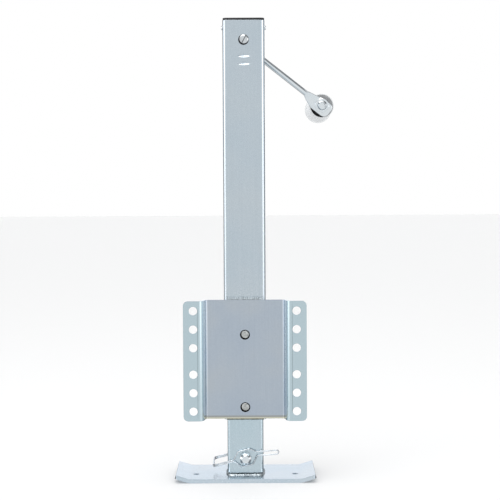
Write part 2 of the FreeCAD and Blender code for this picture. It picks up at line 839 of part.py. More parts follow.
def tilted(shape):
    """Turns a piece drawn about the pin's axis by the wire's tilt, and lifts it to the pin."""
    shape.rotate(centre, along_y, -wire_tilt)
    shape.translate(vec(0, 0, pin_height))
    return shape


def lock_pin():
    """Head on the far side with a cross hole for the wire, and a coned tip on the near side."""
    head_start = ram_half + pin_head_gap
    head_end = head_start + pin_head_length
    radius = pin_diameter / 2
    head = pin_head / 2
    tip = -ram_half - pin_reach
    slope = radius - pin_tip / 2
    body = turned([(0, tip), (pin_tip / 2, tip), (radius, tip + slope), (radius, head_start),
                   (head, head_start), (head, head_end - 1.5), (head - 1.5, head_end), (0, head_end)],
                  centre, along_y)
    middle = (head_start + head_end) / 2
    hole = rod(wire / 2 + wire_eye_play, vec(0, middle, -head - 1), vec(0, middle, head + 1))
    return tilted(body.cut(hole))


def wire_lock():
    """One bent wire: from the head's cross hole round the left side and over the pin's tip."""
    back = ram_half + pin_head_gap + pin_head_length / 2
    front = -ram_half - wire_ahead
    strand = wire / 2 + wire_strand_gap / 2
    head = pin_head / 2
    rise = head + wire_end_rise
    droop = math.tan(math.radians(wire_tilt - wire_tab_rise))
    tab_start = wire_loop_end
    tab_end = wire_tab_lift - (wire_tab - tab_start) * droop
    upper = [vec(0, back, head - wire_end_depth), vec(0, back, rise), vec(-13, back, rise),
             vec(-26, back, strand), vec(-wire_side, back, strand), vec(-wire_side, front, strand),
             vec(-wire_loop_start, front, strand), vec(-wire_loop_flat, front, wire_loop_height),
             vec(wire_loop_flat, front, wire_loop_height)]
    lower = [vec(p.x, p.y, -p.z) for p in upper]
    for strand_points, side in ((upper, 1), (lower, -1)):
        strand_points.append(vec(tab_start, front, wire_tab_lift + side * wire_tab_half))
        strand_points.append(vec(wire_tab, front, tab_end + side * wire_tab_half))
    upper_radii = [2.2, 4.0, 5.0, 6.0, 6.0, 3.0, 3.0, 3.0, 3.0]
    turn = wire_tab_half - 0.05
    path = upper + lower[::-1]
    radii = upper_radii + [turn, turn] + upper_radii[::-1]
    spine = round_path(path, radii)
    circle = Part.Wire(Part.makeCircle(wire / 2, path[0], path[1] - path[0]))
    return tilted(spine.makePipeShell([circle], True, True))


pieces = {
    "outer_tube": outer_tube,
    "mounting_bracket": mounting_bracket,
    "bracket_welds": bracket_welds,
    "plug_welds": plug_welds,
    "top_cap": top_cap,
    "cap_screws": cap_screws,
    "thrust_plate": thrust_plate,
    "bearing_race_upper": lambda: bearing_race(upper_race_bottom, 0.5),
    "bearing_balls": bearing_balls,
    "shaft_bush": shaft_bush,
    "crank_shaft": crank_shaft,
    "arm_spacer": arm_spacer,
    "drive_pinion": drive_pinion,
    "pinion_pin": pinion_pin_solid,
    "crank_arm": crank_arm,
    "crank_nut": crank_nut,
    "grip_bolt": grip_bolt,
    "grip_nut": grip_nut,
    "grip_bush": grip_bush,
    "grip": grip,
    "lead_screw": lead_screw,
    "driven_gear": driven_gear,
    "gear_pin": gear_pin_solid,
    "bearing_race_lower": lambda: bearing_race(lower_race_top - race_thick, 0.05),
    "screw_stop_washer": stop_washer_solid,
    "screw_stop_pin": stop_pin_solid,
    "ram_tube": ram_tube,
    "lead_nut": lead_nut,
    "lock_pin": lock_pin,
    "wire_lock": wire_lock,
    "drop_leg_tube": drop_leg_tube,
    "foot_plate": foot_plate,
    "foot_weld": foot_weld,
}

os.makedirs("parts", exist_ok=True)
for name, make in pieces.items():
    solid = make()
    print(name, len(solid.Solids), solid.isValid(), round(solid.Volume, 1))
    solid.exportStep("parts/" + name + ".step")
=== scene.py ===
import bpy
import bmesh
import math
from mathutils import Euler, Matrix, Vector


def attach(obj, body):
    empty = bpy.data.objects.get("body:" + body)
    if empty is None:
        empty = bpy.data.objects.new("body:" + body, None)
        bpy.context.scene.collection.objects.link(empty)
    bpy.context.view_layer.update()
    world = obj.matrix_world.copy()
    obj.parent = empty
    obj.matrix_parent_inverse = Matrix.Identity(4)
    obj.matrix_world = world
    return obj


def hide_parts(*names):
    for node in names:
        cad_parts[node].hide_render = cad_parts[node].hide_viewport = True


# Drop leg trailer jack. Sizes are in millimetres, and each piece becomes metres when it is added.

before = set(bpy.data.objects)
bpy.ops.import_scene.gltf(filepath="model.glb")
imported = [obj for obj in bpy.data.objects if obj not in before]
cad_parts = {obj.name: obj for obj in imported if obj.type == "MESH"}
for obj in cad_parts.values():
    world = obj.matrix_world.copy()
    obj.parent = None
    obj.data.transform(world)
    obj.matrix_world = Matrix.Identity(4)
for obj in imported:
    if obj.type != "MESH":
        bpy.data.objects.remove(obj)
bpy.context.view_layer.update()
scene = bpy.context.scene
print("frame loaded,", len(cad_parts), "solids")


# Shapes

# the arc that rounds the corner between two legs of a line
def arc(before, corner, after, radius, steps):
    back = (before - corner).normalized()
    ahead = (after - corner).normalized()
    half = back.angle(ahead) / 2
    middle = corner + (back + ahead).normalized() * radius / math.sin(half)
    start = (corner + back * radius / math.tan(half) - middle).normalized()
    end = (corner + ahead * radius / math.tan(half) - middle).normalized()
    return [middle + start.slerp(end, k / steps) * radius for k in range(steps + 1)]


# rounds the corners of a flat line, radii as one number or a list
def roundCorners(points, radii, steps=5, closed=False):
    corners = [Vector((p[0], p[1], 0)) for p in points]
    line = []
    for i, corner in enumerate(corners):
        radius = radii[i] if isinstance(radii, (list, tuple)) else radii
        if radius <= 0 or (not closed and i in (0, len(corners) - 1)):
            line.append(corner)
        else:
            line += arc(corners[i - 1], corner, corners[(i + 1) % len(corners)], radius, steps)
    return line


def rectangle(width, depth):
    a = width / 2
    b = depth / 2
    return [(-a, -b), (a, -b), (a, b), (-a, b)]


# a flat outline drawn up into a solid
def extruded(outline, low, high):
    bm = bmesh.new()
    face = bm.faces.new([bm.verts.new((p[0], p[1], low)) for p in outline])
    raised = bmesh.ops.extrude_face_region(bm, geom=[face])["geom"]
    bmesh.ops.translate(bm, verts=[v for v in raised if isinstance(v, bmesh.types.BMVert)],
                        vec=(0, 0, high - low))
    bmesh.ops.recalc_face_normals(bm, faces=bm.faces)
    return bm


# a profile of (radius, height) spun about Z
def turned(profile, steps=72):
    bm = bmesh.new()
    verts = [bm.verts.new((p[0], 0, p[1])) for p in profile]
    edges = [bm.edges.new(pair) for pair in zip(verts, verts[1:])]
    bmesh.ops.spin(bm, geom=verts + edges, cent=(0, 0, 0), axis=(0, 0, 1), angle=2 * math.pi,
                   steps=steps, use_merge=True)
    bmesh.ops.remove_doubles(bm, verts=bm.verts, dist=0.0005)
    bmesh.ops.recalc_face_normals(bm, faces=bm.faces)
    return bm


# turns Z to a direction and moves the mesh to a place
def aimed(bm, place, direction):
    turn = Vector((0, 0, 1)).rotation_difference(Vector(direction))
    bm.transform(Matrix.Translation(Vector(place)) @ turn.to_matrix().to_4x4())
    return bm


def bar(radius, start, end, steps=48):
    run = Vector(end) - Vector(start)
    bm = bmesh.new()
    bmesh.ops.create_cone(bm, cap_ends=True, segments=steps, radius1=radius, radius2=radius,
                          depth=run.length)
    bmesh.ops.translate(bm, verts=bm.verts, vec=(0, 0, run.length / 2))
    return aimed(bm, start, run)


# bridges a row of closed sections into one skin
def bridged(sections, closed=False):
    bm = bmesh.new()
    loops = []
    for section in sections:
        verts = [bm.verts.new(p) for p in section]
        loops.append([bm.edges.new(pair) for pair in zip(verts, verts[1:] + verts[:1])])
    for first, second in zip(loops, loops[1:] + loops[:1] if closed else loops[1:]):
        bmesh.ops.bridge_loops(bm, edges=first + second)
    if not closed:
        bmesh.ops.holes_fill(bm, edges=loops[0] + loops[-1], sides=0)
    bmesh.ops.recalc_face_normals(bm, faces=bm.faces)
    return bm


# several meshes as one
def joined(parts):
    whole = parts[0]
    for part in parts[1:]:
        mesh = bpy.data.meshes.new("part")
        part.to_mesh(mesh)
        part.free()
        whole.from_mesh(mesh)
        bpy.data.meshes.remove(mesh)
    return whole


# a boolean between two meshes
def carved(body, tool, operation="DIFFERENCE"):
    pair = []
    for bm in (body, tool):
        mesh = bpy.data.meshes.new("carving")
        bm.to_mesh(mesh)
        bm.free()
        pair.append(bpy.data.objects.new("carving", mesh))
        scene.collection.objects.link(pair[-1])
    cut = pair[0].modifiers.new("cut", "BOOLEAN")
    cut.operation = operation
    cut.solver = "EXACT"
    cut.object = pair[1]
    result = bmesh.new()
    result.from_object(pair[0], bpy.context.evaluated_depsgraph_get())
    for item in pair:
        mesh = item.data
        bpy.data.objects.remove(item)
        bpy.data.meshes.remove(mesh)
    return result


# rounds the edges that turn by more than an angle, and of a tube only those at its ends
def softened(bm, width, segments=2, above=60, ends=None):
    bmesh.ops.remove_doubles(bm, verts=bm.verts, dist=0.001)
    edges = [e for e in bm.edges if len(e.link_faces) == 2
             and e.calc_face_angle() > math.radians(above)
             and not (ends and ends[0] <= e.verts[0].co.z <= ends[1])]
    bmesh.ops.bevel(bm, geom=edges, offset=width, offset_type="OFFSET", affect="EDGES",
                    segments=segments, profile=0.5, clamp_overlap=True, material=-1)
    return bm


# makes the object, on its body, in place of the solids it stands for
def addPiece(name, bm, body, material, stands, smooth=32, flat=False):
    bm.transform(Matrix.Scale(0.001, 4))
    mesh = bpy.data.meshes.new(name)
    bm.to_mesh(mesh)
    bm.free()
    mesh.materials.append(material)
    mesh.polygons.foreach_set("use_smooth", [True] * len(mesh.polygons))
    mesh.set_sharp_from_angle(angle=math.radians(smooth))
    piece = bpy.data.objects.new(name, mesh)
    scene.collection.objects.link(piece)
    if flat:    # big faces stay flat beside their rounded edges
        piece.modifiers.new("flat faces", "WEIGHTED_NORMAL").keep_sharp = True
        shaded = piece.evaluated_get(bpy.context.evaluated_depsgraph_get())
        piece.data = bpy.data.meshes.new_from_object(shaded)
        piece.modifiers.clear()
        bpy.data.meshes.remove(mesh)
        piece.data.name = name
    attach(piece, body)
    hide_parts(*stands)
    print("made", name, len(piece.data.polygons))
    return piece


# Material nodes

def addNode(tree, kind, settings=None, inputs=None):
    node = tree.nodes.new(kind)
    for key, value in (settings or {}).items():
        setattr(node, key, value)
    for key, value in (inputs or {}).items():
        if isinstance(value, bpy.types.NodeSocket):
            tree.links.new(value, node.inputs[key])
        else:
            node.inputs[key].default_value = value
    return node


def noise(tree, place, stretch, scale, detail=3.0, roughness=0.5):
    mapping = addNode(tree, "ShaderNodeMapping", {}, {"Vector": place, "Scale": stretch})
    node = addNode(tree, "ShaderNodeTexNoise", {},
                   {"Vector": mapping.outputs["Vector"], "Scale": scale, "Detail": detail,
                    "Roughness": roughness})
    return node.outputs["Fac"]


def ramp(tree, value, stops):
    node = addNode(tree, "ShaderNodeValToRGB", {}, {"Fac": value})
    elements = node.color_ramp.elements
    elements[0].position, elements[0].color = stops[0][0], (*stops[0][1], 1)
    elements[1].position, elements[1].color = stops[-1][0], (*stops[-1][1], 1)
    for position, colour in stops[1:-1]:
        elements.new(position).color = (*colour, 1)
    return node.outputs["Color"]


def span(tree, value, low, high, start=0.3, end=0.7):
    node = addNode(tree, "ShaderNodeMapRange", {},
                   {"Value": value, "From Min": start, "From Max": end, "To Min": low, "To Max": high})
    return node.outputs["Result"]


def mixed(tree, share, first, second, blend="MIX"):
    return addNode(tree, "ShaderNodeMix", {"data_type": "RGBA", "blend_type": blend},
                   {0: share, 6: first, 7: second}).outputs[2]


def darkened(tree, colour, strength, value, shade):
    shades = ramp(tree, value, [(0.32, shade), (0.62, (1, 1, 1))])
    return mixed(tree, strength, colour, shades, "MULTIPLY")


def maths(tree, operation, first, second=0.0):
    return addNode(tree, "ShaderNodeMath", {"operation": operation}, {0: first, 1: second}).outputs[0]


# a place as its X, Y and Z
def axes(tree, kind="Object"):
    place = addNode(tree, "ShaderNodeTexCoord").outputs[kind]
    return addNode(tree, "ShaderNodeSeparateXYZ", {}, {0: place}).outputs


# distance from an axis along Y
def awayFrom(tree, place, x, z):
    across = maths(tree, "SUBTRACT", place["X"], x)
    upward = maths(tree, "SUBTRACT", place["Z"], z)
    return maths(tree, "SQRT", maths(tree, "ADD", maths(tree, "MULTIPLY", across, across),
                                     maths(tree, "MULTIPLY", upward, upward)))


# a second tint where a mask is one
def tinted(tree, mask, colour):
    base = tree.nodes["Principled BSDF"].inputs["Base Color"]
    tree.links.new(mixed(tree, mask, base.links[0].from_socket, (*colour, 1)), base)


def bumps(tree, layers):
    normal = None
    for height, strength, distance in layers:
        inputs = {"Height": height, "Strength": strength, "Distance": distance}
        if normal:
            inputs["Normal"] = normal
        normal = addNode(tree, "ShaderNodeBump", {}, inputs).outputs["Normal"]
    return normal


def startMaterial(name, metallic):
    material = bpy.data.materials.new(name)
    material.use_nodes = True
    tree = material.node_tree
    shader = tree.nodes["Principled BSDF"]
    shader.inputs["Metallic"].default_value = metallic
    place = tree.nodes.new("ShaderNodeTexCoord").outputs["Object"]
    return material, tree, shader, place


# Finishes, in linear colours

# zinc plate: faint tints, fine mottling, drawn lines along one axis and a satin grain
def platedSteel(name, look):
    material, tree, shader, place = startMaterial(name, 1.0)
    cloud = noise(tree, place, (1, 1, 1), look["cloud"], 2.0)
    mottle = noise(tree, place, (1, 1, 1), look["mottle"], 4.0, 0.6)
    streak = noise(tree, place, look["lines"], look["lineScale"], 3.0, 0.6)
    grain = noise(tree, place, (1, 1, 1), look["grain"], 2.0)
    wave = noise(tree, place, look["wave"], look["waveScale"], 1.0)
    tint = ramp(tree, cloud, [(0.32, look["cool"]), (0.5, look["middle"]), (0.68, look["warm"])])
    tint = darkened(tree, tint, look["spots"], mottle, (0.80, 0.82, 0.84))
    tint = darkened(tree, tint, look["streak"], streak, (0.70, 0.72, 0.74))
    tree.links.new(tint, shader.inputs["Base Color"])
    rough = maths(tree, "ADD", span(tree, mottle, look["rough"] - 0.04, look["rough"] + 0.04),
                  span(tree, grain, -0.03, 0.03))
    tree.links.new(rough, shader.inputs["Roughness"])
    normal = bumps(tree, [(wave, 0.3, 0.0005), (streak, look["streak"] * 0.6, 0.0002),
                          (grain, 0.06, 0.0001)])
    tree.links.new(normal, shader.inputs["Normal"])
    return material


# weld metal under the plating
def weldMetal(name, look):
    material, tree, shader, place = startMaterial(name, 1.0)
    patch = noise(tree, place, (1, 1, 1), look["patch"], 4.0, 0.6)
    fine = noise(tree, place, (1, 1, 1), 1500, 3.0)
    tree.links.new(ramp(tree, patch, [(0.34, look["dark"]), (0.62, look["pale"])]),
                   shader.inputs["Base Color"])
    tree.links.new(span(tree, patch, look["rough"] - 0.1, look["rough"] + 0.1),
                   shader.inputs["Roughness"])
    tree.links.new(bumps(tree, [(patch, 0.2, 0.0004), (fine, 0.3, 0.0003)]), shader.inputs["Normal"])
    return material


# bare steel or bronze with a fine tool grain
def bareMetal(name, dark, pale, rough, scale):
    material, tree, shader, place = startMaterial(name, 1.0)
    patch = noise(tree, place, (1, 1, 1), scale, 4.0, 0.55)
    fine = noise(tree, place, (1, 1, 1), 2400, 2.0)
    tree.links.new(ramp(tree, patch, [(0.35, dark), (0.65, pale)]), shader.inputs["Base Color"])
    tree.links.new(span(tree, patch, rough - 0.06, rough + 0.08), shader.inputs["Roughness"])
    tree.links.new(bumps(tree, [(fine, 0.15, 0.0001)]), shader.inputs["Normal"])
    return material


# moulded plastic with a pebble grain and a little mottling
def mouldedPlastic(name, dark, pale, rough, pebble, depth):
    material, tree, shader, place = startMaterial(name, 0.0)
    patch = noise(tree, place, (1, 1, 1), 45, 3.0)
    grain = noise(tree, place, (1, 1, 1), pebble, 2.0)
    tree.links.new(ramp(tree, patch, [(0.3, dark), (0.7, pale)]), shader.inputs["Base Color"])
    tree.links.new(span(tree, patch, rough - 0.05, rough + 0.05), shader.inputs["Roughness"])
    tree.links.new(bumps(tree, [(grain, 0.25, depth)]), shader.inputs["Normal"])
    return material


zincLook = {"cool": (0.625, 0.70, 0.75), "middle": (0.655, 0.715, 0.765), "warm": (0.685, 0.73, 0.765),
            "cloud": 9, "mottle": 330, "spots": 0.22, "streak": 0.10, "rough": 0.24,
            "lines": (1, 1, 0.02), "lineScale": 420, "grain": 1100, "wave": (1, 1, 0.25), "waveScale": 18}
ramLook = dict(zincLook, cool=(0.64, 0.755, 0.805), middle=(0.67, 0.765, 0.815), warm=(0.69, 0.775, 0.815))
plateLook = dict(zincLook, cool=(0.535, 0.585, 0.66), middle=(0.56, 0.605, 0.67), warm=(0.59, 0.62, 0.66),
                 cloud=14, rough=0.15, streak=0.08)
footLook = dict(zincLook, cool=(0.70, 0.79, 0.86), middle=(0.72, 0.80, 0.87), warm=(0.76, 0.82, 0.87),
                cloud=16, streak=0.22, lines=(0.02, 1, 1), wave=(0.5, 1, 1))
partLook = dict(zincLook, cool=(0.86, 0.89, 0.91), middle=(0.90, 0.92, 0.935), warm=(0.93, 0.935, 0.94),
                cloud=60, mottle=700, rough=0.12, streak=0.0, lines=(1, 1, 1), wave=(2, 2, 2))
tubeZinc = platedSteel("zinc_tube", zincLook)
ramZinc = platedSteel("zinc_ram", ramLook)
plateZinc = platedSteel("zinc_sheet", plateLook)
footZinc = platedSteel("zinc_foot", footLook)
partZinc = platedSteel("zinc_parts", partLook)

# the bracket's flanges are greener than its plate, and weld heat left a gold line under the plate
sheet = {"flange": (0.62, 0.725, 0.765), "flangeFrom": 0.0555, "gold": (0.78, 0.74, 0.60),
         "brown": (0.44, 0.44, 0.42), "goldTop": 0.0885}
sheetTree = plateZinc.node_tree
sheetPlace = axes(sheetTree)
sheetAside = maths(sheetTree, "ABSOLUTE", sheetPlace["X"])
onPlate = span(sheetTree, sheetAside, 1, 0, sheet["flangeFrom"] - 0.002, sheet["flangeFrom"])
tinted(sheetTree, maths(sheetTree, "SUBTRACT", 1.0, onPlate), sheet["flange"])
for colour, bottom, top in (("brown", 0.001, 0.003), ("gold", -0.001, 0)):
    low = span(sheetTree, sheetPlace["Z"], 1, 0, sheet["goldTop"] + bottom, sheet["goldTop"] + top)
    tinted(sheetTree, maths(sheetTree, "MULTIPLY", onPlate, low), sheet[colour])

# painted shade: the foot's two near corners are darkened, standing for the dark reflection on their rounded
# tips
cornerShade = {"from": 0.0955, "near": -0.0475, "colour": (0.03, 0.03, 0.035)}
footTree = footZinc.node_tree
footPlace = axes(footTree)
atEnd = span(footTree, maths(footTree, "ABSOLUTE", footPlace["X"]), 0, 1, cornerShade["from"],
             cornerShade["from"] + 0.0008)
atFront = span(footTree, footPlace["Y"], 1, 0, cornerShade["near"] - 0.001, cornerShade["near"])
tinted(footTree, maths(footTree, "MULTIPLY", atEnd, atFront), cornerShade["colour"])

greyWeld = weldMetal("weld_grey", {"dark": (0.42, 0.42, 0.40), "pale": (0.74, 0.74, 0.72),
                                   "patch": 320, "rough": 0.34})
topWeld = weldMetal("weld_top", {"dark": (0.38, 0.42, 0.44), "pale": (0.50, 0.55, 0.58),
                                 "patch": 200, "rough": 0.50})
# painted shade: the low bead under the plate's bottom edge is coloured near black, standing for the shadow
# there
shadedWeld = weldMetal("weld_painted_shade", {"dark": (0.06, 0.06, 0.045), "pale": (0.30, 0.29, 0.22),
                                   "patch": 300, "rough": 0.45})
paleWeld = weldMetal("weld_pale", {"dark": (0.46, 0.50, 0.51), "pale": (0.72, 0.76, 0.78),
                                   "patch": 150, "rough": 0.30})

# painted shade: a dark ring round each plug weld, where the bead meets the hole's edge, widest below
plugLook = {"heights": (0.102, 0.2026), "aside": 0.0004, "above": 0.0007, "radius": 0.0054,
            "ringShade": (0.012, 0.011, 0.01)}
plugTree = greyWeld.node_tree
plugPlace = axes(plugTree)
plugAway = maths(plugTree, "MINIMUM", *[awayFrom(plugTree, plugPlace, plugLook["aside"],
                                                 height + plugLook["above"])
                                        for height in plugLook["heights"]])
tinted(plugTree, span(plugTree, plugAway, 0, 1, plugLook["radius"] - 0.0003, plugLook["radius"]),
       plugLook["ringShade"])

machinedSteel = bareMetal("machined_steel", (0.42, 0.43, 0.44), (0.66, 0.67, 0.68), 0.26, 90)
gearSteel = bareMetal("gear_steel", (0.26, 0.26, 0.25), (0.46, 0.46, 0.45), 0.34, 140)
hardSteel = bareMetal("hardened_steel", (0.58, 0.58, 0.6), (0.74, 0.74, 0.76), 0.12, 200)
bronze = bareMetal("bronze", (0.42, 0.25, 0.09), (0.66, 0.44, 0.18), 0.3, 160)
springWire = bareMetal("spring_wire", (0.50, 0.52, 0.54), (0.80, 0.83, 0.86), 0.14, 120)
blackPlastic = mouldedPlastic("black_plastic", (0.008, 0.008, 0.009), (0.022, 0.022, 0.024),
                              0.42, 1800, 0.0001)
whitePlastic = mouldedPlastic("white_plastic", (0.55, 0.56, 0.56), (0.62, 0.63, 0.63), 0.4, 300, 0.00001)
gripShader = whitePlastic.node_tree.nodes["Principled BSDF"]
gripShader.inputs["Emission Color"].default_value = (0.95, 0.97, 1, 1)    # painted light: the shell glows faintly, standing in for light let through its wall
gripShader.inputs["Emission Strength"].default_value = 0.22

# painted shade in the gap round the shaft's end, and a painted dark reflection streaked across it
shaftEndShade = {"aside": 0.0006, "z": 0.6093, "radius": 0.0062, "streak": 0.0009, "slope": (0.88, 0.48),
           "dark": 0.75, "colour": (0.03, 0.03, 0.035)}
shaftSteel = bareMetal("shaft_steel", (0.62, 0.63, 0.64), (0.80, 0.81, 0.82), 0.22, 90)
shaftTree = shaftSteel.node_tree
shaftPlace = axes(shaftTree)
shaftAway = awayFrom(shaftTree, shaftPlace, shaftEndShade["aside"], shaftEndShade["z"])
upward = maths(shaftTree, "SUBTRACT", shaftPlace["Z"], shaftEndShade["z"])
aslant = maths(shaftTree, "SUBTRACT", maths(shaftTree, "MULTIPLY", shaftPlace["X"], shaftEndShade["slope"][0]),
               maths(shaftTree, "MULTIPLY", upward, shaftEndShade["slope"][1]))
aslant = maths(shaftTree, "ABSOLUTE", maths(shaftTree, "SUBTRACT", aslant, shaftEndShade["aside"]))
shaftDark = maths(shaftTree, "MAXIMUM",
                  span(shaftTree, shaftAway, 0, 1, shaftEndShade["radius"] - 0.0003, shaftEndShade["radius"]),
                  span(shaftTree, aslant, shaftEndShade["dark"], 0, shaftEndShade["streak"] * 0.5,
                       shaftEndShade["streak"]))
tinted(shaftTree, shaftDark, shaftEndShade["colour"])
print("materials made")


# Square tubes: the outer tube with two crimps pressed in each wall, and the ram

tube = {"width": 58, "wall": 3, "corner": 6, "bottom": 84, "top": 635.5, "edge": 0.6,
        "shaftZ": 608.5, "shaftHole": 7.3, "bushHole": 9.02}
crimps = {"heights": (587.3, 576.7), "halfLength": 12.5, "halfHeight": 3.4, "depth": 2.0,
          "inside": 0.6, "rowStep": 0.42, "columnStep": 0.75}
ram = {"width": 50, "wall": 3, "corner": 5, "bottom": 9, "top": 559.4, "edge": 0.6, "pinHole": 8.15}
pinZ = 30.5
tubeFace = tube["width"] / 2


# how far the wall is pressed in, at u across it and height z
def crimpDepth(u, z):
    depth = 0
    for height in crimps["heights"]:
        away = math.hypot(u / crimps["halfLength"], (z - height) / crimps["halfHeight"])
        if away < 1:
            depth = crimps["depth"] * math.cos(math.pi / 2 * away) ** 2
    return depth


def pressCrimps(bm, half, wall):
    for vert in bm.verts:
        x, y, z = vert.co
        share = 1 if max(abs(x), abs(y)) > half - wall / 2 else crimps["inside"]
        if abs(x) > abs(y):
            vert.co.x -= math.copysign(crimpDepth(y, z) * share, x)
        else:
            vert.co.y -= math.copysign(crimpDepth(x, z) * share, y)


def sliced(bm, place, normal):
    bmesh.ops.bisect_plane(bm, geom=bm.verts[:] + bm.edges[:] + bm.faces[:], plane_co=place,
                           plane_no=normal, dist=0.0001)


# a square tube, with rows and columns of edges where it is to be pressed in
def squareTube(size, rows=(), columns=()):
    height = size["top"] - size["bottom"]
    bm = bmesh.new()
    bmesh.ops.create_cube(bm, size=1)
    bmesh.ops.scale(bm, verts=bm.verts, vec=(size["width"], size["width"], height))
    bmesh.ops.translate(bm, verts=bm.verts, vec=(0, 0, size["bottom"] + height / 2))
    bm.normal_update()
    bmesh.ops.delete(bm, geom=[f for f in bm.faces if abs(f.normal.z) > 0.5], context="FACES_ONLY")
    uprights = [e for e in bm.edges if abs(e.verts[0].co.z - e.verts[1].co.z) > 1]
    bmesh.ops.bevel(bm, geom=uprights, offset=size["corner"], offset_type="OFFSET", affect="EDGES",
                    segments=8, profile=0.5, material=-1)
    for z in rows:
        sliced(bm, (0, 0, z), (0, 0, 1))
    for u in columns:
        sliced(bm, (u, 0, 0), (1, 0, 0))
        sliced(bm, (0, u, 0), (0, 1, 0))
    bmesh.ops.recalc_face_normals(bm, faces=bm.faces)
    bmesh.ops.solidify(bm, geom=bm.faces[:], thickness=size["wall"])
    bmesh.ops.recalc_face_normals(bm, faces=bm.faces)
    if rows:
        pressCrimps(bm, size["width"] / 2, size["wall"])
    return softened(bm, size["edge"], ends=(size["bottom"] + 0.01, size["top"] - 0.01))


rows = sorted(height + k * crimps["rowStep"] for height in crimps["heights"] for k in range(-12, 13))
columns = [k * crimps["columnStep"] for k in range(-18, 19)]
tubeMesh = squareTube(tube, rows, columns)
tubeMesh = carved(tubeMesh, bar(tube["shaftHole"], (0, -35, tube["shaftZ"]), (0, 0, tube["shaftZ"])))
tubeMesh = carved(tubeMesh, bar(tube["bushHole"], (0, 0, tube["shaftZ"]), (0, 35, tube["shaftZ"])))
addPiece("outer_tube_shell", tubeMesh, "housing", tubeZinc, ["outer_tube"], 40, True)

ramMesh = carved(squareTube(ram), bar(ram["pinHole"], (0, -30, pinZ), (0, 30, pinZ)))
addPiece("ram_shell", ramMesh, "ram", ramZinc, ["ram_tube"], 40, True)
print("tubes made")


# Mounting bracket, bent from one sheet

bracket = {"width": 169, "height": 165, "bottom": 86, "sheet": 4, "front": -55.5, "plate": -33,
           "back": 108.2, "mouth": 115.2, "bend": 4.5, "corner": 6.5, "hole": 11.5, "edge": 0.45,
           "columns": 141.6, "rows": (18.25, 43.65, 69.05), "plug": 13.5, "plugs": (102, 202.6)}


# one face of the sheet as a line, given its thickness and its bends, then extruded
def bentSheet(front, sheet, bend, length):
    points = [Vector((p[0], p[1], 0)) for p in front]
    other = []
    for i, point in enumerate(points):
        into = (point - points[i - 1]).normalized() if i else (points[1] - point).normalized()
        out = (points[i + 1] - point).normalized() if i < len(points) - 1 else into
        sideIn = Vector((-into.y, into.x, 0))
        mitre = (sideIn + Vector((-out.y, out.x, 0))).normalized()
        other.append(point + mitre * sheet / mitre.dot(sideIn))
    near = [0]
    far = [0]
    for i in range(1, len(points) - 1):
        turn = (points[i] - points[i - 1]).cross(points[i + 1] - points[i]).z
        near.append(bend + sheet if turn > 0 else bend)
        far.append(bend if turn > 0 else bend + sheet)
    outline = roundCorners(points, near + [0], 8) + roundCorners(other, far + [0], 8)[::-1]
    return extruded(outline, 0, length)


mouth = bracket["mouth"] / 2
back = bracket["back"] / 2
side = bracket["width"] / 2
middleZ = bracket["bottom"] + bracket["height"] / 2
bracketMesh = bentSheet([(-side, bracket["front"]), (-mouth, bracket["front"]),
                         (-back, bracket["plate"]), (back, bracket["plate"]),
                         (mouth, bracket["front"]), (side, bracket["front"])],
                        bracket["sheet"], bracket["bend"], bracket["height"])
bracketMesh.transform(Matrix.Translation((0, 0, bracket["bottom"])))
rounded = extruded(roundCorners(rectangle(bracket["width"] - 0.02, bracket["height"] - 0.02),
                                bracket["corner"], 8, True), 0, 60)
rounded.transform(Matrix.Translation((0, -10, middleZ)) @ Matrix.Rotation(math.pi / 2, 4, "X"))
bracketMesh = carved(bracketMesh, rounded, "INTERSECT")
drills = []
for row in bracket["rows"]:
    for x in (-bracket["columns"] / 2, bracket["columns"] / 2):
        for z in (middleZ - row, middleZ + row):
            drills.append(bar(bracket["hole"] / 2, (x, -70, z), (x, -45, z), 40))
for z in bracket["plugs"]:
    drills.append(bar(bracket["plug"] / 2, (0, -40, z), (0, -29.5, z)))
bracketMesh = softened(carved(bracketMesh, joined(drills)), bracket["edge"])
addPiece("bracket_sheet", bracketMesh, "housing", plateZinc, ["mounting_bracket"], 25, True)


# Foot plate, with both ends turned up

foot = {"length": 195, "depth": 104, "sheet": 5.5, "flat": 156, "rise": 6, "bend": 16, "corner": 4,
        "hole": 8.2, "spread": 138, "front": 16, "edge": 0.7}
ends = foot["length"] / 2
flat = foot["flat"] / 2
footMesh = bentSheet([(-ends, foot["rise"]), (-flat, 0), (flat, 0), (ends, foot["rise"])],
                     foot["sheet"], foot["bend"], foot["depth"])
footMesh.transform(Matrix.Translation((0, foot["depth"] / 2, 0)) @ Matrix.Rotation(math.pi / 2, 4, "X"))
rounded = extruded(roundCorners(rectangle(foot["length"] - 0.02, foot["depth"] - 0.02),
                                foot["corner"], 8, True), -2, 30)
footMesh = carved(footMesh, rounded, "INTERSECT")
holes = [bar(foot["hole"] / 2, (x, -foot["front"], -2), (x, -foot["front"], 12), 40)
         for x in (-foot["spread"] / 2, foot["spread"] / 2)]
footMesh = softened(carved(footMesh, joined(holes)), foot["edge"])
addPiece("foot_sheet", footMesh, "drop_leg", footZinc, ["foot_plate"], 25, True)
print("sheet pieces made")


# Weld beads

welds = {"length": 51, "top": 251, "bottom": 86, "leg": 3.9, "lowLeg": 1.95, "pitch": 3.1, "ripple": 0.16}
footBead = {"tube": 42.8, "corner": 3.5, "width": 5.4, "height": 2.9, "z": 5.5, "step": 0.45,
            "pitch": 3.3, "ripple": 0.1}
plugBead = {"profile": [(0, 3.7), (1.2, 3.65), (2.2, 3.4), (3.2, 3.55), (4.2, 3.3), (5.1, 3.35),
                        (5.6, 2.9), (5.9, 0.9), (6.6, 0.7), (6.6, 0), (0, 0)],
            "radii": [0, 0.4, 0.4, 0.4, 0.4, 0.3, 0.2, 0.2, 0, 0, 0]}


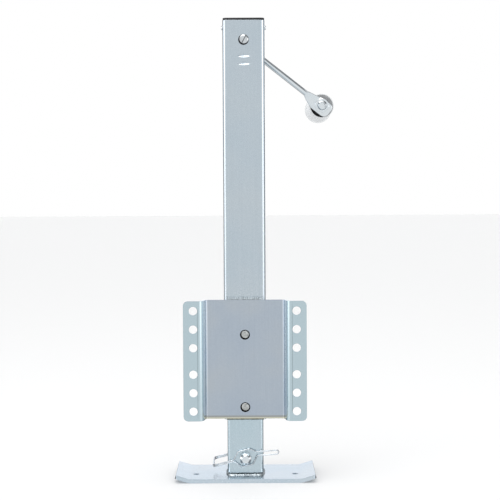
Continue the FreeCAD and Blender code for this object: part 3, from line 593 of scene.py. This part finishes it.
# one section of a fillet bead, its ripples overlapping along the run
def beadSection(place, run, aside, up, look):
    section = [place]
    for k in range(13):
        t = k / 12
        crown = math.sin(t * math.pi)
        ripple = abs(math.sin((run + 1.1 * crown) / look["pitch"] * math.pi)) - 0.5
        wander = 1 + 0.05 * math.sin(run * 0.37) + 0.04 * math.sin(run * 0.9 + 1)
        step = aside * (1 - t + 0.17 * crown) + up * (t + 0.17 * crown)
        section.append(place + step * (1 + look["ripple"] * ripple) * wander)
    return section


def straightBead(z, up):
    run = [welds["length"] * k / 160 for k in range(161)]
    return bridged([beadSection(Vector((s - welds["length"] / 2, -tubeFace, z)), s,
                                Vector((0, -welds["leg"], 0)), Vector((0, 0, up)), welds) for s in run])


addPiece("bracket_bead_top", straightBead(welds["top"], welds["leg"]), "housing",
         topWeld, ["bracket_welds"], 60)
# the low bead's near-black weld colour is painted shade
addPiece("bracket_bead_low", straightBead(welds["bottom"], -welds["lowLeg"]), "housing",
         shadedWeld, ["bracket_welds"], 60)

plugProfile = roundCorners(plugBead["profile"], plugBead["radii"], 3)
plugs = [aimed(turned(plugProfile, 64), (0, -tubeFace, z), (0, -1, 0)) for z in bracket["plugs"]]
addPiece("plug_beads", joined(plugs), "housing", greyWeld, ["plug_welds"], 60)

corners = roundCorners(rectangle(footBead["tube"], footBead["tube"]), footBead["corner"], 10, True)
inner = footBead["tube"] / 2 - footBead["corner"]
sections = []
run = 0
for i, p in enumerate(corners):
    q = corners[(i + 1) % len(corners)]
    count = max(1, round((q - p).length / footBead["step"]))
    for k in range(count):
        place = p.lerp(q, k / count)
        place.z = footBead["z"]
        middle = Vector((max(-inner, min(inner, place.x)), max(-inner, min(inner, place.y)), place.z))
        out = (place - middle).normalized() * footBead["width"]
        sections.append(beadSection(place, run + (q - p).length * k / count, out,
                                    Vector((0, 0, footBead["height"])), footBead))
    run += (q - p).length
addPiece("foot_bead", bridged(sections, True), "drop_leg", paleWeld, ["foot_weld"], 60)


# Top cap and its screws

cap = {"width": 57.2, "thick": 3, "corner": 5.6, "edge": 1.0}
skirt = {"width": 51.6, "wall": 2.2, "corner": 3, "bottom": 621.5, "top": 635.9, "edge": 0.3}
capPlate = extruded(roundCorners(rectangle(cap["width"], cap["width"]), cap["corner"], 10, True),
                    tube["top"], tube["top"] + cap["thick"])
capMesh = joined([softened(capPlate, cap["edge"], 4), squareTube(skirt)])
addPiece("cap_cover", capMesh, "housing", blackPlastic, ["top_cap"], 32, True)

capScrew = {"z": 627.5, "profile": [(0, -7), (0.9, -7), (1.9, -5.5), (1.9, 0), (3.2, 0), (3.2, 1.0),
                                    (2.4, 2.0), (0, 2.2)],
            "radii": [0, 0, 0, 0, 0.2, 0.6, 0.6, 0], "slot": (3.6, 0.9), "slotFloor": 0.9,
            "turn": 0.3}
heads = []
for x in (-1, 1):
    head = turned(roundCorners(capScrew["profile"], capScrew["radii"], 4), 40)
    for turn in (capScrew["turn"], capScrew["turn"] + math.pi / 2):
        blade = extruded(rectangle(*capScrew["slot"]), capScrew["slotFloor"], 3)
        blade.transform(Matrix.Rotation(turn, 4, "Z"))
        head = carved(head, blade)
    heads.append(aimed(head, (x * tubeFace, 0, capScrew["z"]), (x, 0, 0)))
addPiece("cap_screw_heads", joined(heads), "housing", partZinc, ["cap_screws"])
print("welds and cap made")


# Turned pieces of the crank

crank = {"z": tube["shaftZ"], "length": 140.9, "drop": 38.2, "plane": 44, "thick": 5}
shaft = {"profile": [(0, -30.8), (3.2, -30.6), (5.6, -30.1), (7, -29.4), (7, 41.5), (5.6, 41.5),
                     (5.6, 46.6), (0, 46.6)],
         "radii": [0, 1.5, 1.5, 0.3, 0, 0, 0, 0]}
spacer = {"profile": [(7.05, 31.5), (10, 31.5), (10, 41.4), (7.05, 41.4), (7.05, 31.5)],
          "radii": [0, 0.5, 0.5, 0, 0]}
bush = {"profile": [(7.1, 26.1), (8.9, 26.1), (8.9, 29.05), (12, 29.05), (12, 31), (7.1, 31),
                    (7.1, 26.1)],
        "radii": [0, 0, 0, 0.3, 0.7, 0.3, 0]}
thread = {"radius": 5.95, "pitch": 1.75, "depth": 0.8, "length": 11.4, "end": 0.9}
nut = {"flats": 19, "height": 10, "bore": 12.1, "turn": 11, "chamfer": 0.9, "edge": 0.25}
dropAngle = math.radians(crank["drop"])
gripX = crank["length"] * math.cos(dropAngle)
gripZ = crank["z"] - crank["length"] * math.sin(dropAngle)
armFar = crank["plane"] + crank["thick"] / 2
armNear = crank["plane"] - crank["thick"] / 2


def onShaft(bm, y=0):
    return aimed(bm, (0, y, crank["z"]), (0, 1, 0))


def onGrip(bm, y=0, towards=1):
    return aimed(bm, (gripX, y, gripZ), (0, towards, 0))


# one pitch of a thread spun up into a helix and cut flat at both ends
def threaded(size, hand=1, steps=32):
    pitch = size["pitch"]
    root = size["radius"] - size["depth"]
    turns = math.ceil(size["length"] / pitch) + 2
    bm = bmesh.new()
    profile = [(root, 0), (root, 0.12), (size["radius"], 0.44), (size["radius"], 0.56), (root, 0.88),
               (root, 1)]
    verts = [bm.verts.new((r, 0, (z - 1) * pitch)) for r, z in profile]
    edges = [bm.edges.new(pair) for pair in zip(verts, verts[1:])]
    bmesh.ops.spin(bm, geom=verts + edges, cent=(0, 0, 0), axis=(0, 0, 1), dvec=(0, 0, pitch / steps),
                   angle=2 * math.pi * turns * hand, steps=steps * turns)
    bmesh.ops.remove_doubles(bm, verts=bm.verts, dist=0.002)
    for z, low, high in ((0, True, False), (size["length"], False, True)):
        cut = bmesh.ops.bisect_plane(bm, geom=bm.verts[:] + bm.edges[:] + bm.faces[:],
                                     plane_co=(0, 0, z), plane_no=(0, 0, 1), clear_inner=low,
                                     clear_outer=high)
        rim = [e for e in cut["geom_cut"] if isinstance(e, bmesh.types.BMEdge)]
        bmesh.ops.holes_fill(bm, edges=rim, sides=0)
    bmesh.ops.recalc_face_normals(bm, faces=bm.faces)
    return bm


# the threaded end of a bolt, with its tip chamfered
def boltEnd():
    wide = thread["radius"] + 1
    length = thread["length"]
    tip = turned([(0, 0), (wide, 0), (wide, length - 2 * thread["end"]),
                  (thread["radius"] - thread["end"], length), (0, length)], 48)
    return carved(threaded(thread), tip, "INTERSECT")


def hexNut():
    corner = nut["flats"] / math.sqrt(3)
    face = nut["flats"] / 2 - 0.3
    bore = nut["bore"] / 2
    mouthRadius = bore + nut["chamfer"]
    top = nut["height"]
    body = bar(corner, (0, 0, 0), (0, 0, top), 6)
    body = carved(body, turned([(0, 0), (face, 0), (corner + 0.05, 0.95), (corner + 0.05, top - 0.95),
                                (face, top), (0, top)]), "INTERSECT")
    body = carved(body, turned([(0, -1), (mouthRadius, -1), (mouthRadius, 0), (bore, nut["chamfer"]),
                                (bore, top - nut["chamfer"]), (mouthRadius, top),
                                (mouthRadius, top + 1), (0, top + 1)], 48))
    return softened(body, nut["edge"], above=25)


shaftMesh = turned(roundCorners(shaft["profile"], shaft["radii"]), 64)
addPiece("shaft_turned", joined([onShaft(shaftMesh), onShaft(boltEnd(), armFar)]), "crank",
         shaftSteel, ["crank_shaft"])
spacerMesh = turned(roundCorners(spacer["profile"], spacer["radii"], 3), 64)
addPiece("arm_spacer_turned", onShaft(spacerMesh), "crank", partZinc, ["arm_spacer"])
bushMesh = turned(roundCorners(bush["profile"], bush["radii"], 4), 64)
addPiece("shaft_bush_turned", onShaft(bushMesh), "housing", bronze, ["shaft_bush"])
addPiece("crank_nut_hex", onShaft(hexNut(), armFar), "crank", partZinc, ["crank_nut"],
         32, True)
nutMesh = hexNut()
nutMesh.transform(Matrix.Rotation(math.radians(nut["turn"]), 4, "Z"))
addPiece("grip_nut_hex", onGrip(nutMesh, armNear, -1), "crank", partZinc, ["grip_nut"],
         32, True)


# Grip: a pale shell, open towards the arm, on a dark core that turns on the bolt

grip = {"start": 47.35, "end": 167.75, "near": 17.35, "waist": 0.75, "bore": 15.95, "flare": 19.55,
        "flareLength": 9, "seat": 161.3, "wall": 3, "counterbore": 13.7, "inner": 6.25, "lip": 0.7}
core = {"start": 46.85, "face": 122.3, "hub": 8.9, "plug": 15.8, "end": 158.2, "inner": 6.25}
gripBolt = {"profile": [(0, 40), (5.95, 40), (5.95, 161.7), (12.4, 161.7), (12.4, 163.4), (9.5, 165.8),
                        (0, 166.6)],
            "radii": [0, 0, 0, 0.5, 0.8, 4, 0]}
boltMesh = turned(roundCorners(gripBolt["profile"], gripBolt["radii"], 6), 64)
addPiece("grip_bolt_turned", joined([onGrip(boltMesh), onGrip(boltEnd(), armNear, -1)]), "crank",
         partZinc, ["grip_bolt"])

coreProfile = [(core["inner"], core["start"]), (core["hub"], core["start"]), (core["hub"], core["face"]),
               (core["plug"], core["face"]), (core["plug"], core["end"]), (core["inner"], core["end"]),
               (core["inner"], core["start"])]
coreMesh = turned(roundCorners(coreProfile, [0, 0.6, 1.5, 0.8, 0, 0, 0], 4))
addPiece("grip_core", onGrip(coreMesh), "grip", blackPlastic, ["grip_bush"])

near = grip["start"] + grip["lip"]
far = grip["end"] - grip["flareLength"]
rim = (grip["near"] + grip["bore"]) / 2
waist = []
for k in range(21):
    t = k / 20
    waist.append((grip["near"] - grip["waist"] * math.sin(math.pi * t) + 0.6 * t,
                  near + t * (far - near)))
gripProfile = ([(grip["bore"], near), (rim, grip["start"])] + waist
               + [(grip["flare"], far + 3), (grip["flare"], grip["end"] - 2.5),
                  (grip["flare"] - 2.4, grip["end"]), (grip["counterbore"], grip["end"]),
                  (grip["counterbore"], grip["seat"]), (grip["inner"], grip["seat"]),
                  (grip["inner"], grip["seat"] - grip["wall"]), (grip["bore"], grip["seat"] - grip["wall"]),
                  (grip["bore"], near)])
radii = [0, 0.6] + [0] * 20 + [2.2, 1.6, 1.8, 1.4, 0.5, 0, 0, 0, 0, 0]
gripMesh = turned(roundCorners(gripProfile, radii, 6), 96)
addPiece("grip_shell", onGrip(gripMesh), "grip", whitePlastic, ["grip"], 45)


# Crank arm: a round bar forged flat at both ends

# along the eye: place, width, thickness, offset
arm = {"rod": 8, "hub": 27, "hubReach": 1.55, "neck": 20, "neckBack": 3.2, "neckLength": 8,
       "eyeEnd": 14.7, "eyeCorner": 7.5,
       "eye": [(-29, 8, 8, 0), (-24, 12.1, 5, -1), (-11, 19.8, 5, -2), (0, 22, 5, -1),
               (14.7, 22, 5, -1)]}


# a section from round, square 2, to nearly a rectangle, square 7
def armSection(along, width, thick, square, aside=0):
    section = []
    for k in range(40):
        turn = 2 * math.pi * k / 40
        x = math.copysign(abs(math.cos(turn)) ** (2 / square), math.cos(turn)) * width / 2
        y = math.copysign(abs(math.sin(turn)) ** (2 / square), math.sin(turn)) * thick / 2
        section.append(Vector((along, y, x + aside)))
    return section


def hubWidth(along):
    hub = arm["hub"] / 2
    width = 2 * math.sqrt(max(hub * hub - along * along, 0.05))
    return max(width, hub * 1.6) if along > hub * 0.45 else width


# the eye's width, thickness and offset, at a place measured from the grip's bolt
def eyeShape(place):
    for (a, *first), (b, *second) in zip(arm["eye"], arm["eye"][1:]):
        if a <= place <= b:
            t = (place - a) / (b - a)
            width, thick, aside = [p + (q - p) * t for p, q in zip(first, second)]
    past = place - (arm["eyeEnd"] - arm["eyeCorner"])
    if past > 0:
        width -= 2 * (arm["eyeCorner"] - math.sqrt(max(arm["eyeCorner"] ** 2 - past * past, 0)))
    return width, thick, aside


sections = []
hub = arm["hub"] / 2
for k in range(15):
    along = -hub + 0.02 + hub * arm["hubReach"] * k / 14
    sections.append(armSection(along, hubWidth(along), crank["thick"], 7))
for k in range(1, 8):
    ease = (k / 7) ** 2 * (3 - 2 * k / 7)
    along = hub - arm["neckBack"] + arm["neckLength"] * k / 7
    sections.append(armSection(along, arm["neck"] + (arm["rod"] - arm["neck"]) * ease,
                               crank["thick"] + (arm["rod"] - crank["thick"]) * ease, 7 - 5 * ease))
for along in range(24, 110, 8):
    sections.append(armSection(along, arm["rod"], arm["rod"], 2))
for place in [-29, -27.6, -26.2, -25, -24, -23, -20, -16, -11, -6, 0, 5, 7.2, 9, 10.7, 12.2, 13.3, 14.1,
              14.5, 14.68]:
    width, thick, aside = eyeShape(place)
    square = 7 - (thick - crank["thick"]) / (arm["rod"] - crank["thick"]) * 5
    sections.append(armSection(crank["length"] + place, width, thick, square, aside))
armMesh = bridged(sections)
armMesh.transform(Matrix.Translation((0, crank["plane"], crank["z"])) @ Matrix.Rotation(dropAngle, 4, "Y"))
addPiece("crank_arm_forged", armMesh, "crank", partZinc, ["crank_arm"], 40)
print("crank made")


# Lock pin and the bent wire that holds it

pin = {"profile": [(0, -42), (5, -42), (8, -39), (8, 25.4), (12.5, 25.4), (12.5, 37.4), (0, 37.4)],
       "radii": [0, 0.5, 0.7, 0, 0.6, 1.4, 0], "tilt": 14}
wire = {"radius": 0.9, "hole": 1.05, "back": 31.4, "front": -29, "strand": 1.03, "side": 46, "loop": 11,
        "tabStart": 16.5, "tabEnd": 46.5, "tabHalf": 2.8, "tabLift": 2.0, "tabRise": 4.3,
        "bends": [2.2, 4, 5, 6, 6, 3, 3, 3, 3], "tabBend": 2.75}
tilt = Matrix.Translation((0, 0, pinZ)) @ Matrix.Rotation(math.radians(-pin["tilt"]), 4, "Y")
pinMesh = aimed(turned(roundCorners(pin["profile"], pin["radii"]), 64), (0, 0, 0), (0, 1, 0))
pinMesh = carved(pinMesh, bar(wire["hole"], (0, wire["back"], -14), (0, wire["back"], 14), 20))
pinMesh.transform(tilt)
addPiece("lock_pin_turned", pinMesh, "lock_pin", partZinc, ["lock_pin"])

tabFall = (wire["tabEnd"] - wire["tabStart"]) * math.tan(math.radians(pin["tilt"] - wire["tabRise"]))
upper = [(0, 7.5), (0, 15.5), (-13, 15.5), (-26, wire["strand"]), (-wire["side"], wire["strand"])]
upper = [(x, wire["back"], z) for x, z in upper]
loop = [(-wire["side"], wire["strand"]), (-16.5, wire["strand"]), (-8, wire["loop"]), (8, wire["loop"])]
upper += [(x, wire["front"], z) for x, z in loop]
lower = [(x, y, -z) for x, y, z in upper]
for strand, half in ((upper, wire["tabHalf"]), (lower, -wire["tabHalf"])):
    strand.append((wire["tabStart"], wire["front"], wire["tabLift"] + half))
    strand.append((wire["tabEnd"], wire["front"], wire["tabLift"] - tabFall + half))
route = [Vector(p) for p in upper + lower[::-1]]
bends = wire["bends"] + [wire["tabBend"]] * 2 + wire["bends"][::-1]
points = [route[0]]
for before, corner, after, bend in zip(route, route[1:], route[2:], bends):
    points += arc(before, corner, after, bend, 6)
points.append(route[-1])
curve = bpy.data.curves.new("wire_lock_bent", "CURVE")
curve.dimensions = "3D"
curve.bevel_depth = wire["radius"] * 0.001
curve.bevel_resolution = 5
curve.use_fill_caps = True
spline = curve.splines.new("POLY")
spline.points.add(len(points) - 1)
for node, p in zip(spline.points, points):
    node.co = (*(tilt @ p * 0.001), 1)
curve.materials.append(springWire)
wireLock = bpy.data.objects.new("wire_lock_bent", curve)
scene.collection.objects.link(wireLock)
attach(wireLock, "wire_lock")
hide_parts("wire_lock")
print("pin and wire made")


# Lead screw, with its left hand thread

screw = {"profile": [(0, 144.9), (6, 144.9), (7, 145.9), (7, 153), (8.3, 153), (8.3, 564.9), (15, 564.9),
                     (15, 569.9), (7, 569.9), (7, 596.6), (6, 597.6), (0, 597.6)],
         "radius": 9.5, "pitch": 4.2333, "depth": 1.1, "bottom": 152.9, "length": 412}
threadMesh = threaded(screw, -1, 28)
threadMesh.transform(Matrix.Translation((0, 0, screw["bottom"])))
addPiece("lead_screw_threaded", joined([turned(screw["profile"], 40), threadMesh]), "screw",
         machinedSteel, ["lead_screw"])


# Finishes for the solids that stay as they are

kept = {"thrust_plate": machinedSteel, "bearing_race_upper": hardSteel, "bearing_race_lower": hardSteel,
        "bearing_balls": hardSteel, "drive_pinion": gearSteel, "driven_gear": gearSteel,
        "pinion_pin": hardSteel, "gear_pin": hardSteel, "screw_stop_washer": partZinc,
        "screw_stop_pin": hardSteel, "lead_nut": bronze, "drop_leg_tube": tubeZinc}
for name, material in kept.items():
    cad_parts[name].data.materials.clear()
    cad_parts[name].data.materials.append(material)
print("solids finished")


# Floor, light and camera

studio = {"floor": (0.95, 0.95, 0.95), "level": 2.4, "turn": 0.10, "plain": (0.435, 0.435, 0.435),
          "around": [(0.0, (0.31, 0.327, 0.336)), (0.08, (0.312, 0.33, 0.338)), (0.16, (0.42, 0.43, 0.44)),
                     (0.24, (0.94, 0.95, 0.96)), (0.41, (0.85, 0.86, 0.87)), (0.455, (0.45, 0.46, 0.47)),
                     (0.54, (0.38, 0.39, 0.40)), (0.66, (0.14, 0.145, 0.15)), (0.945, (0.10, 0.105, 0.11)),
                     (0.965, (0.44, 0.455, 0.475)), (1.0, (0.45, 0.465, 0.485))],
          "below": [(0.0, (0.31, 0.327, 0.336)), (0.54, (0.32, 0.337, 0.346)), (0.66, (0.14, 0.145, 0.15)),
                    (1.0, (0.10, 0.105, 0.11))],
          "overhead": [(0.0, (0.07, 0.075, 0.08)), (0.6, (0.07, 0.075, 0.08)), (1.0, (0.50, 0.505, 0.51))],
          "belowAt": {"Z": (0, -0.17)}, "overheadAt": {"Z": (0.5, 0.95)},
          "ceilingAt": {"Z": (0.25, 0.45), "Y": (-0.45, -0.2)},
          "flagAt": {"X": (0.15, 0.3), "Z": (0.25, 0.4), "Y": (-0.85, -0.7)}}
lamp = {"place": (-0.5, -0.9, 2.3), "target": (0, 0, 0.2), "size": (1.5, 1.2), "power": 10}
view = {"place": (0.008, -2.0243, 0.410), "tip": -0.0453, "roll": 0.005, "lens": 104.2}

floorMaterial, _, floorShader, _ = startMaterial("floor_white", 0.0)
floorShader.inputs["Base Color"].default_value = (*studio["floor"], 1)
floorShader.inputs["Roughness"].default_value = 0.6
bm = bmesh.new()
bmesh.ops.create_grid(bm, x_segments=1, y_segments=1, size=14)
floorMesh = bpy.data.meshes.new("floor")
bm.to_mesh(floorMesh)
bm.free()
floorMesh.materials.append(floorMaterial)
floor = bpy.data.objects.new("floor", floorMesh)
floor.location = (0, 3, -0.0002)
floor.visible_glossy = False    # in metal the room goes on below the ground
scene.collection.objects.link(floor)

# metal sees a room that changes with depth, under a dark ceiling that reaches further forward on the
# right; matt surfaces are lit evenly, and the camera sees plain white
world = bpy.data.worlds.new("studio")
scene.world = world
world.use_nodes = True
sky = world.node_tree
sky.nodes.clear()
skyPlace = axes(sky, "Generated")


# 0 to 1 in the room, where each named axis passes from one place to another
def roomMask(spans):
    masks = [span(sky, skyPlace[axis], 0, 1, *places) for axis, places in spans.items()]
    whole = masks[0]
    for mask in masks[1:]:
        whole = maths(sky, "MULTIPLY", whole, mask)
    return whole


skyTurn = maths(sky, "MULTIPLY", skyPlace["X"], studio["turn"])
skyDepth = span(sky, maths(sky, "ADD", skyPlace["Y"], skyTurn), 0, 1, -1, 1)
sides = mixed(sky, roomMask(studio["belowAt"]), ramp(sky, skyDepth, studio["around"]),
              ramp(sky, skyDepth, studio["below"]))
overhead = ramp(sky, roomMask(studio["overheadAt"]), studio["overhead"])
ceiling = maths(sky, "MAXIMUM", roomMask(studio["ceilingAt"]), roomMask(studio["flagAt"]))
room = mixed(sky, ceiling, sides, overhead)
backdrop = addNode(sky, "ShaderNodeBackground", {}, {"Color": (1, 1, 1, 1), "Strength": 1.0})
rayKind = addNode(sky, "ShaderNodeLightPath")
roomSeen = mixed(sky, rayKind.outputs["Is Glossy Ray"], (*studio["plain"], 1), room)
roomLight = addNode(sky, "ShaderNodeBackground", {}, {"Color": roomSeen, "Strength": studio["level"]})
pick = addNode(sky, "ShaderNodeMixShader", {}, {0: rayKind.outputs["Is Camera Ray"],
                                                1: roomLight.outputs[0], 2: backdrop.outputs[0]})
addNode(sky, "ShaderNodeOutputWorld", {}, {"Surface": pick.outputs[0]})

light = bpy.data.lights.new("top_soft", "AREA")
light.shape = "RECTANGLE"
light.size, light.size_y = lamp["size"]
light.energy = lamp["power"]
lightObject = bpy.data.objects.new("top_soft", light)
lightObject.location = lamp["place"]
aim = Vector(lamp["target"]) - Vector(lamp["place"])
lightObject.rotation_euler = aim.to_track_quat("-Z", "Y").to_euler()
scene.collection.objects.link(lightObject)

camera = bpy.data.cameras.new("camera")
camera.lens = view["lens"]
camera.sensor_width = 36
cameraObject = bpy.data.objects.new("camera", camera)
cameraObject.location = view["place"]
cameraObject.rotation_euler = Euler((math.pi / 2 + view["tip"], view["roll"], 0))
scene.collection.objects.link(cameraObject)
scene.camera = cameraObject
scene.view_settings.view_transform = "Standard"
